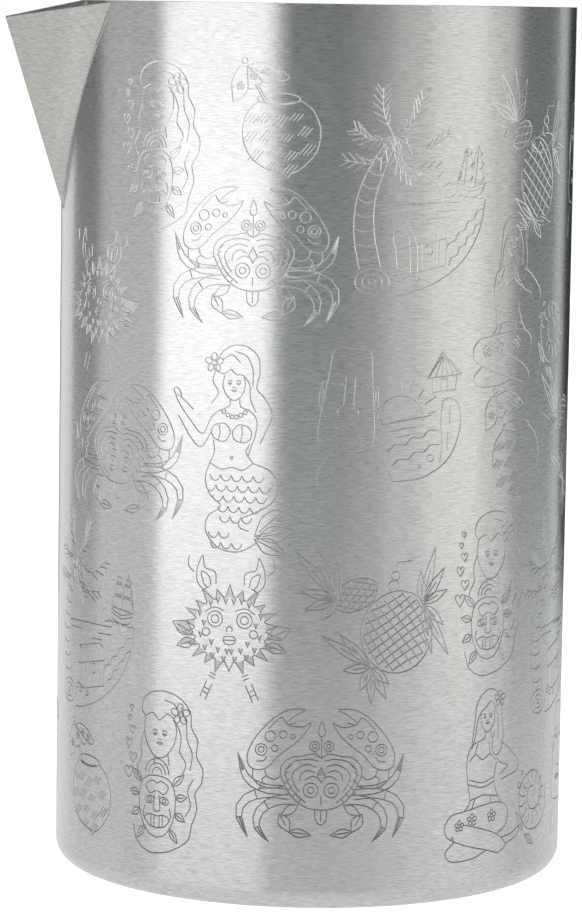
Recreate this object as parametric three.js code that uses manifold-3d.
// Double-walled stirring vessel with a folded V spout, in brushed stainless steel.
// Millimetres, +Z up. The origin is on the vessel's axis, on the surface that it stands on.
// The spout points along -X.

import * as THREE from 'three';
import { mergeVertices } from 'three/addons/utils/BufferGeometryUtils.js';
import Module from 'manifold-3d';

const wasm = await Module();
wasm.setup();

// ---- Driving dimensions ----

const OUTER_RADIUS = 45;
const HEIGHT = 152;
const SHEET = 0.6; // wall sheet of the shell, the liner and both bottoms
const GAP = 0.3; // clearance between neighbouring pieces, filled by weld or glue on the real vessel
const FOOT_CORNER = 3.5; // outer radius of the corner between wall and foot ring
const FOOT_RING_INNER = 38;

const LINER_RADIUS = 40.8; // inside of the drinking vessel
const COLLAR_HEIGHT = 3.5; // straight part of the liner that lies against the shell at the rim
const SHOULDER_HEIGHT = 5; // slope between the collar and the liner's wall
const LINER_CORNER = 8;
const LINER_FLOOR = 7; // underside of the liner's floor

const SPOUT_SHEET = 0.8;
const SPOUT_REACH = 55.6; // from the vessel's axis to the tip of the lip
const SPOUT_DROP = 3; // how far the tip lies below the rim
const SPOUT_DEPTH = 37; // how far below the rim the fold meets the wall
const SPOUT_RIM_ANGLE = 29; // degrees around the rim from the spout's middle to where each side leaves it

const VACUUM_BOTTOM_RADIUS = 41;
const DIMPLE_RADIUS = 8;
const DIMPLE_FLOOR_RADIUS = 5;
const DIMPLE_DEPTH = 2.3;
const PUMPING_HOLE_RADIUS = 1;
const BEAD_RADIUS = 3.8;
const BEAD_HEIGHT = 1.5;

const PILL_RADIUS = 5;
const PILL_HEIGHT = 2;
const PILL_DISTANCE = 20; // from the vessel's axis
const CLIP_SHEET = 0.3;
const CLIP_WIDTH = 4;
const CLIP_FOOT = 3;

const ROUND_SEGMENTS = 96;
const CORNER_SEGMENTS = 4;
const SMALL_SEGMENTS = 32;

// ---- Sizes worked out from them ----

const SHELL_INNER = OUTER_RADIUS - SHEET;
const COLLAR_OUTER = SHELL_INNER - GAP;
const COLLAR_INNER = COLLAR_OUTER - SHEET;
const LINER_OUTER = LINER_RADIUS + SHEET;
const VACUUM_BOTTOM_Z = SHEET + GAP; // its underside
const VACUUM_BOTTOM_TOP = VACUUM_BOTTOM_Z + SHEET;

// Each side of the spout is a plane that runs through the fold and cuts the wall's cylinder at the rim.
// FACE_ANGLE is the plan angle from the spout's direction to that plane's normal.
const RIM_ANGLE = THREE.MathUtils.degToRad(SPOUT_RIM_ANGLE);
const FOLD_SLOPE = (SPOUT_REACH - OUTER_RADIUS) / (SPOUT_DEPTH - SPOUT_DROP);
const FOLD_AT_RIM = SPOUT_REACH + SPOUT_DROP * FOLD_SLOPE; // the fold's line drawn on up, from the axis
const FACE_ANGLE = Math.atan((FOLD_AT_RIM / OUTER_RADIUS - Math.cos(RIM_ANGLE)) / Math.sin(RIM_ANGLE));
const FACE_LEAN = Math.atan(FOLD_SLOPE * Math.cos(FACE_ANGLE));
const LIP_START_X = -OUTER_RADIUS * Math.cos(RIM_ANGLE); // where the lip leaves the rim
const NOTCH_HALF_WIDTH = OUTER_RADIUS * Math.sin(RIM_ANGLE);

// ---- Materials ----

const brushedSteel = () => new THREE.MeshStandardMaterial({ color: 0xb9bab8, metalness: 1, roughness: 0.35 });
const satinSteel = () => new THREE.MeshStandardMaterial({ color: 0xc6c7c6, metalness: 1, roughness: 0.28 });
const rawSteel = () => new THREE.MeshStandardMaterial({ color: 0x9fa09e, metalness: 1, roughness: 0.5 });
const solderGlass = () => new THREE.MeshStandardMaterial({ color: 0x4a4038, metalness: 0, roughness: 0.2 });
const sinteredMetal = () => new THREE.MeshStandardMaterial({ color: 0x55565a, metalness: 0.6, roughness: 0.8 });

// ---- Geometry helpers ----

// The closed triangle mesh of a geometry, as a manifold solid.
function toSolid(geometry) {
  const bare = geometry.clone();
  bare.deleteAttribute('normal');
  bare.deleteAttribute('uv');
  const merged = mergeVertices(bare, 1e-4);
  const index = merged.index.array;
  const triangles = [];
  for (let i = 0; i < index.length; i += 3) {
    const [a, b, c] = [index[i], index[i + 1], index[i + 2]];
    if (a !== b && b !== c && c !== a) triangles.push(a, b, c);
  }
  return new wasm.Manifold(
    new wasm.Mesh({
      numProp: 3,
      vertProperties: new Float32Array(merged.attributes.position.array),
      triVerts: new Uint32Array(triangles),
    }),
  );
}

function toGeometry(solid) {
  const mesh = solid.getMesh();
  const geometry = new THREE.BufferGeometry();
  geometry.setAttribute('position', new THREE.BufferAttribute(new Float32Array(mesh.vertProperties), 3));
  geometry.setIndex(new THREE.BufferAttribute(new Uint32Array(mesh.triVerts), 1));
  geometry.computeVertexNormals();
  return geometry;
}

// A solid of revolution about Z. The profile is [radius, z] points, anticlockwise, and is closed here
// unless it starts and ends on the axis.
function revolve(profile, segments = ROUND_SEGMENTS) {
  const points = profile.map(([r, z]) => new THREE.Vector2(r, z));
  const onAxis = profile[0][0] === 0 && profile[profile.length - 1][0] === 0;
  if (!onAxis) points.push(points[0].clone());
  return new THREE.LatheGeometry(points, segments).rotateX(Math.PI / 2);
}

// Points [radius, z] along an arc, from one angle to another, in degrees.
function arc(centre, radius, from, to, segments = CORNER_SEGMENTS) {
  return Array.from({ length: segments + 1 }, (_, i) => {
    const angle = THREE.MathUtils.degToRad(from + ((to - from) * i) / segments);
    return [centre[0] + radius * Math.cos(angle), centre[1] + radius * Math.sin(angle)];
  });
}

// A prism of an outline in the XZ plane, [x, z] points, as wide as asked along Y and centred on it.
function sidePrism(outline, width) {
  const shape = new THREE.Shape(outline.map(([x, z]) => new THREE.Vector2(x, z)));
  return new THREE.ExtrudeGeometry(shape, { depth: width, bevelEnabled: false })
    .translate(0, 0, -width / 2)
    .rotateX(Math.PI / 2);
}

// The space between the spout's two planes, moved outwards by offset, from below the fold to above the rim.
// It stays on the spout's side of the axis, and within halfWidth of its middle.
function foldWedge(offset, halfWidth) {
  const length = 80;
  const bottom = HEIGHT - 2 * SPOUT_DEPTH;
  const top = HEIGHT + 10;
  const apexShift = offset / Math.cos(FACE_LEAN) / Math.cos(FACE_ANGLE);
  const apexAtZero = -OUTER_RADIUS - apexShift + (HEIGHT - SPOUT_DEPTH) * FOLD_SLOPE;
  const section = new THREE.Shape([
    new THREE.Vector2(apexAtZero, 0),
    new THREE.Vector2(apexAtZero + length, -length / Math.tan(FACE_ANGLE)),
    new THREE.Vector2(apexAtZero + length, length / Math.tan(FACE_ANGLE)),
  ]);
  const wedge = new THREE.ExtrudeGeometry(section, { depth: top - bottom, bevelEnabled: false })
    .translate(0, 0, bottom)
    .applyMatrix4(new THREE.Matrix4().makeShear(0, 0, 0, 0, -FOLD_SLOPE, 0));
  const limits = new THREE.BoxGeometry(length, 2 * halfWidth, 3 * length)
    .translate(-length / 2, 0, HEIGHT);
  return toSolid(wedge).intersect(toSolid(limits));
}

// Everything above the rim and above the lip, which runs straight down from the rim to the spout's tip.
function aboveLip() {
  const slope = SPOUT_DROP / (SPOUT_REACH + LIP_START_X);
  const endX = -SPOUT_REACH - 5;
  const endZ = HEIGHT - slope * (LIP_START_X - endX);
  const top = HEIGHT + 20;
  return toSolid(
    sidePrism([[LIP_START_X, HEIGHT], [0, HEIGHT], [0, top], [endX, top], [endX, endZ]], 120),
  );
}

function part(name, geometry, material) {
  const mesh = new THREE.Mesh(geometry, material);
  mesh.name = name;
  return mesh;
}

// ---- Pieces ----

// Straight wall, turned in at the bottom to a flat foot ring, with the notch for the spout.
function outerShell() {
  const corner = [OUTER_RADIUS - FOOT_CORNER, FOOT_CORNER];
  const wall = revolve([
    [FOOT_RING_INNER, 0],
    ...arc(corner, FOOT_CORNER, -90, 0),
    [OUTER_RADIUS, HEIGHT],
    [SHELL_INNER, HEIGHT],
    ...arc(corner, FOOT_CORNER - SHEET, 0, -90),
    [FOOT_RING_INNER, SHEET],
  ]);
  return toGeometry(toSolid(wall).subtract(foldWedge(GAP, NOTCH_HALF_WIDTH)));
}

// V of folded sheet that stands in the shell's notch.
function spout() {
  const sheet = foldWedge(0, NOTCH_HALF_WIDTH - GAP).subtract(foldWedge(-SPOUT_SHEET, NOTCH_HALF_WIDTH));
  const insideShell = toSolid(revolve([[0, 0], [SHELL_INNER, 0], [SHELL_INNER, 2 * HEIGHT], [0, 2 * HEIGHT]]));
  return toGeometry(sheet.subtract(insideShell).subtract(aboveLip()));
}

// Cup with a shoulder and a collar under the rim. Its sheet is turned out along the notch, to the spout.
function innerLiner() {
  const floorTop = LINER_FLOOR + SHEET;
  const corner = [LINER_RADIUS - LINER_CORNER, floorTop + LINER_CORNER];
  const collarFoot = HEIGHT - COLLAR_HEIGHT;
  const shoulderFoot = collarFoot - SHOULDER_HEIGHT;
  const cup = revolve([
    [0, LINER_FLOOR],
    ...arc(corner, LINER_CORNER + SHEET, -90, 0),
    [LINER_OUTER, shoulderFoot],
    [COLLAR_OUTER, collarFoot],
    [COLLAR_OUTER, HEIGHT],
    [COLLAR_INNER, HEIGHT],
    [COLLAR_INNER, collarFoot],
    [LINER_RADIUS, shoulderFoot],
    ...arc(corner, LINER_CORNER, 0, -90),
    [0, floorTop],
  ]);
  const betweenWalls = revolve([
    [LINER_RADIUS + SHEET / 2, HEIGHT - 2 * SPOUT_DEPTH + 5],
    [COLLAR_OUTER, HEIGHT - 2 * SPOUT_DEPTH + 5],
    [COLLAR_OUTER, HEIGHT],
    [LINER_RADIUS + SHEET / 2, HEIGHT],
  ]);
  const turnedOut = toSolid(betweenWalls).intersect(
    foldWedge(SHEET - SPOUT_SHEET, NOTCH_HALF_WIDTH + SHEET),
  );
  return toGeometry(
    toSolid(cup)
      .add(turnedOut)
      .subtract(foldWedge(-SPOUT_SHEET, NOTCH_HALF_WIDTH))
      .subtract(aboveLip()),
  );
}

// Plate inside the foot ring that closes the space between the walls, with a dimple and its pumping hole.
function vacuumBottom() {
  const dimpleZ = VACUUM_BOTTOM_Z + DIMPLE_DEPTH;
  return revolve([
    [PUMPING_HOLE_RADIUS, dimpleZ],
    [DIMPLE_FLOOR_RADIUS, dimpleZ],
    [DIMPLE_RADIUS, VACUUM_BOTTOM_Z],
    [VACUUM_BOTTOM_RADIUS, VACUUM_BOTTOM_Z],
    [VACUUM_BOTTOM_RADIUS, VACUUM_BOTTOM_TOP],
    [DIMPLE_RADIUS, VACUUM_BOTTOM_TOP],
    [DIMPLE_FLOOR_RADIUS, dimpleZ + SHEET],
    [PUMPING_HOLE_RADIUS, dimpleZ + SHEET],
  ]);
}

// Drop of solder glass in the dimple, under the pumping hole: a flattened ball.
function sealBead() {
  const centreZ = VACUUM_BOTTOM_Z + DIMPLE_DEPTH - GAP - BEAD_HEIGHT / 2;
  return new THREE.SphereGeometry(1, SMALL_SEGMENTS, 12)
    .rotateX(Math.PI / 2)
    .scale(BEAD_RADIUS, BEAD_RADIUS, BEAD_HEIGHT / 2)
    .translate(0, 0, centreZ);
}

// Flat plate flush with the foot ring.
function baseCover() {
  const radius = FOOT_RING_INNER - GAP;
  return revolve([[0, 0], [radius, 0], [radius, SHEET], [0, SHEET]]);
}

function getterPill() {
  const z = VACUUM_BOTTOM_TOP + GAP;
  return revolve([[0, z], [PILL_RADIUS, z], [PILL_RADIUS, z + PILL_HEIGHT], [0, z + PILL_HEIGHT]], SMALL_SEGMENTS)
    .translate(PILL_DISTANCE, 0, 0);
}

// Strap with two feet and a bridge over the pill.
function getterClip() {
  const footZ = VACUUM_BOTTOM_TOP + GAP;
  const bridgeZ = footZ + PILL_HEIGHT + GAP;
  const inner = PILL_RADIUS + GAP;
  const outer = inner + CLIP_SHEET;
  const end = outer + CLIP_FOOT;
  return sidePrism(
    [
      [-end, footZ],
      [-inner, footZ],
      [-inner, bridgeZ],
      [inner, bridgeZ],
      [inner, footZ],
      [end, footZ],
      [end, footZ + CLIP_SHEET],
      [outer, footZ + CLIP_SHEET],
      [outer, bridgeZ + CLIP_SHEET],
      [-outer, bridgeZ + CLIP_SHEET],
      [-outer, footZ + CLIP_SHEET],
      [-end, footZ + CLIP_SHEET],
    ],
    CLIP_WIDTH,
  ).translate(PILL_DISTANCE, 0, 0);
}

// ---- Assembly ----

const vessel = new THREE.Group();
vessel.add(
  part('outer_shell', outerShell(), brushedSteel()),
  part('spout', spout(), brushedSteel()),
  part('inner_liner', innerLiner(), satinSteel()),
  part('vacuum_bottom', vacuumBottom(), rawSteel()),
  part('seal_bead', sealBead(), solderGlass()),
  part('getter_pill', getterPill(), sinteredMetal()),
  part('getter_clip', getterClip(), rawSteel()),
  part('base_cover', baseCover(), brushedSteel()),
);

export default vessel;
